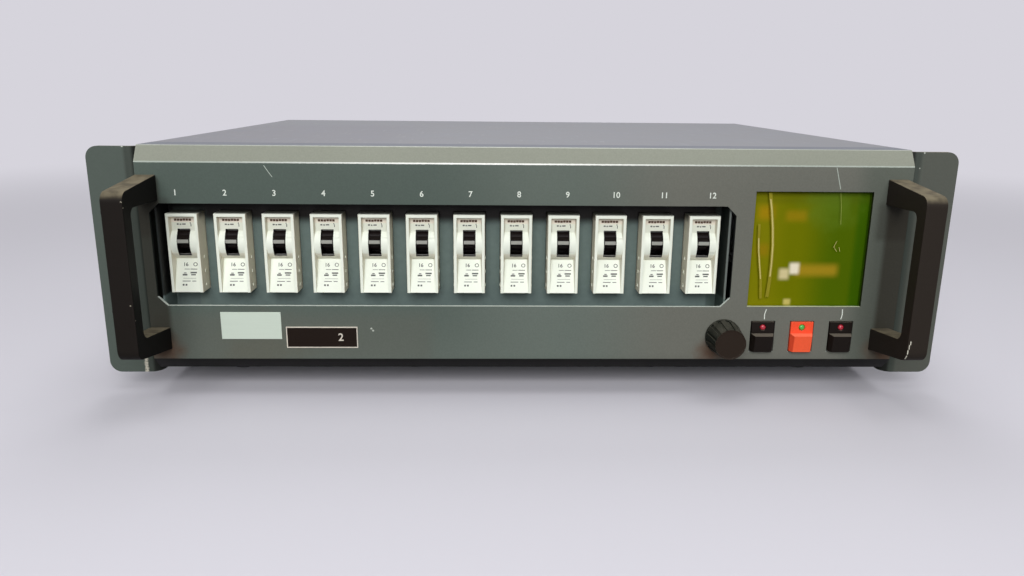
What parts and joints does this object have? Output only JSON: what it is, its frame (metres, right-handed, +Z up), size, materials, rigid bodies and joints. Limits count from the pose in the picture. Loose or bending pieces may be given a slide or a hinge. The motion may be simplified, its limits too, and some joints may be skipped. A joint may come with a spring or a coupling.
{
  "type": "dimmer pack",
  "caption": "Rack-mounted dimmer pack with a row of circuit breakers with toggle levers, a display, an encoder knob, keys and bow handles on its front.",
  "frame": {"origin": "under the middle of the whole unit, on the plane that its feet stand on", "axes": "+X to the right across the front, +Y from the front to the rear, +Z up"},
  "size_m": [0.4826, 0.4048, 0.1424],
  "materials": {
    "panel_paint": "grey-green semi-matt paint",
    "case_paint": "grey semi-gloss paint",
    "handle_paint": "black satin paint, dusty",
    "foot_rubber": "black rubber",
    "tray_paint": "dark blue-grey paint",
    "plated_steel": "zinc-plated steel",
    "breaker_plastic": "off-white moulded plastic",
    "lever_plastic": "black moulded plastic",
    "display_pane": "yellow-green display behind a glossy pane",
    "board": "green circuit board",
    "black_plastic": "black plastic",
    "knob_plastic": "black plastic, dusty",
    "red_plastic": "red-orange plastic",
    "bare_aluminium": "bare aluminium",
    "wound_copper": "varnished copper winding",
    "terminal_plastic": "grey plastic"
  },
  "bodies": {
    "case": {"front_panel": "panel_paint", "left_side_plate": "panel_paint", "right_side_plate": "panel_paint", "top_cover": "case_paint", "base_tray": "case_paint", "rear_panel": "case_paint", "left_handle": "handle_paint", "right_handle": "handle_paint", "foot_front_left": "foot_rubber", "foot_front_right": "foot_rubber", "foot_rear_left": "foot_rubber", "foot_rear_right": "foot_rubber", "breaker_tray": "tray_paint", "breaker_rail": "plated_steel", "encoder_body": "plated_steel", "data_in_socket": "plated_steel", "data_out_socket": "plated_steel", "breaker_01": "breaker_plastic", "breaker_02": "breaker_plastic", "breaker_03": "breaker_plastic", "breaker_04": "breaker_plastic", "breaker_05": "breaker_plastic", "breaker_06": "breaker_plastic", "breaker_07": "breaker_plastic", "breaker_08": "breaker_plastic", "breaker_09": "breaker_plastic", "breaker_10": "breaker_plastic", "breaker_11": "breaker_plastic", "breaker_12": "breaker_plastic", "display_window": "display_pane", "control_board": "board", "display_module": "black_plastic", "key_switch_left": "black_plastic", "key_switch_middle": "black_plastic", "key_switch_right": "black_plastic", "power_modules": "black_plastic", "fan_frame": "black_plastic", "supply_gland": "black_plastic", "heat_sink": "bare_aluminium", "outlet_left": "bare_aluminium", "outlet_right": "bare_aluminium", "choke_bank": "wound_copper", "terminal_row": "terminal_plastic"},
    "lever_01": {"breaker_lever_01": "lever_plastic"},
    "lever_02": {"breaker_lever_02": "lever_plastic"},
    "lever_03": {"breaker_lever_03": "lever_plastic"},
    "lever_04": {"breaker_lever_04": "lever_plastic"},
    "lever_05": {"breaker_lever_05": "lever_plastic"},
    "lever_06": {"breaker_lever_06": "lever_plastic"},
    "lever_07": {"breaker_lever_07": "lever_plastic"},
    "lever_08": {"breaker_lever_08": "lever_plastic"},
    "lever_09": {"breaker_lever_09": "lever_plastic"},
    "lever_10": {"breaker_lever_10": "lever_plastic"},
    "lever_11": {"breaker_lever_11": "lever_plastic"},
    "lever_12": {"breaker_lever_12": "lever_plastic"},
    "key_left": {"key_cap_left": "black_plastic"},
    "key_middle": {"key_cap_middle": "red_plastic"},
    "key_right": {"key_cap_right": "black_plastic"},
    "knob": {"encoder_knob": "knob_plastic"},
    "fan": {"fan_rotor": "black_plastic"}
  },
  "joints": [
    {"name": "lever_01_tilt", "type": "hinge", "parent": "case", "child": "lever_01", "pos_m": [-0.1922, -0.14575, 0.0893], "axis": [1, 0, 0], "range_deg": [0, 48]},
    {"name": "lever_02_tilt", "type": "hinge", "parent": "case", "child": "lever_02", "pos_m": [-0.16562, -0.14575, 0.0893], "axis": [1, 0, 0], "range_deg": [0, 48]},
    {"name": "lever_03_tilt", "type": "hinge", "parent": "case", "child": "lever_03", "pos_m": [-0.13905, -0.14575, 0.0893], "axis": [1, 0, 0], "range_deg": [0, 48]},
    {"name": "lever_04_tilt", "type": "hinge", "parent": "case", "child": "lever_04", "pos_m": [-0.11247, -0.14575, 0.0893], "axis": [1, 0, 0], "range_deg": [0, 48]},
    {"name": "lever_05_tilt", "type": "hinge", "parent": "case", "child": "lever_05", "pos_m": [-0.08589, -0.14575, 0.0893], "axis": [1, 0, 0], "range_deg": [0, 48]},
    {"name": "lever_06_tilt", "type": "hinge", "parent": "case", "child": "lever_06", "pos_m": [-0.05931, -0.14575, 0.0893], "axis": [1, 0, 0], "range_deg": [0, 48]},
    {"name": "lever_07_tilt", "type": "hinge", "parent": "case", "child": "lever_07", "pos_m": [-0.03274, -0.14575, 0.0893], "axis": [1, 0, 0], "range_deg": [0, 48]},
    {"name": "lever_08_tilt", "type": "hinge", "parent": "case", "child": "lever_08", "pos_m": [-0.00616, -0.14575, 0.0893], "axis": [1, 0, 0], "range_deg": [0, 48]},
    {"name": "lever_09_tilt", "type": "hinge", "parent": "case", "child": "lever_09", "pos_m": [0.02042, -0.14575, 0.0893], "axis": [1, 0, 0], "range_deg": [0, 48]},
    {"name": "lever_10_tilt", "type": "hinge", "parent": "case", "child": "lever_10", "pos_m": [0.047, -0.14575, 0.0893], "axis": [1, 0, 0], "range_deg": [0, 48]},
    {"name": "lever_11_tilt", "type": "hinge", "parent": "case", "child": "lever_11", "pos_m": [0.07357, -0.14575, 0.0893], "axis": [1, 0, 0], "range_deg": [0, 48]},
    {"name": "lever_12_tilt", "type": "hinge", "parent": "case", "child": "lever_12", "pos_m": [0.10015, -0.14575, 0.0893], "axis": [1, 0, 0], "range_deg": [0, 48]},
    {"name": "key_left_press", "type": "slide", "parent": "case", "child": "key_left", "axis": [0, 1, 0], "range_m": [0, 0.002], "stiffness_N_per_m": 350, "springref_m": -0.002},
    {"name": "key_middle_press", "type": "slide", "parent": "case", "child": "key_middle", "axis": [0, 1, 0], "range_m": [0, 0.002], "stiffness_N_per_m": 350, "springref_m": -0.002},
    {"name": "key_right_press", "type": "slide", "parent": "case", "child": "key_right", "axis": [0, 1, 0], "range_m": [0, 0.002], "stiffness_N_per_m": 350, "springref_m": -0.002},
    {"name": "knob_turn", "type": "hinge", "parent": "case", "child": "knob", "pos_m": [0.1128, -0.16865, 0.0364], "axis": [0, 1, 0], "continuous": true},
    {"name": "fan_spin", "type": "hinge", "parent": "case", "child": "fan", "pos_m": [0.14267, 0.15835, 0.07615], "axis": [0, 1, 0], "continuous": true}
  ]
}
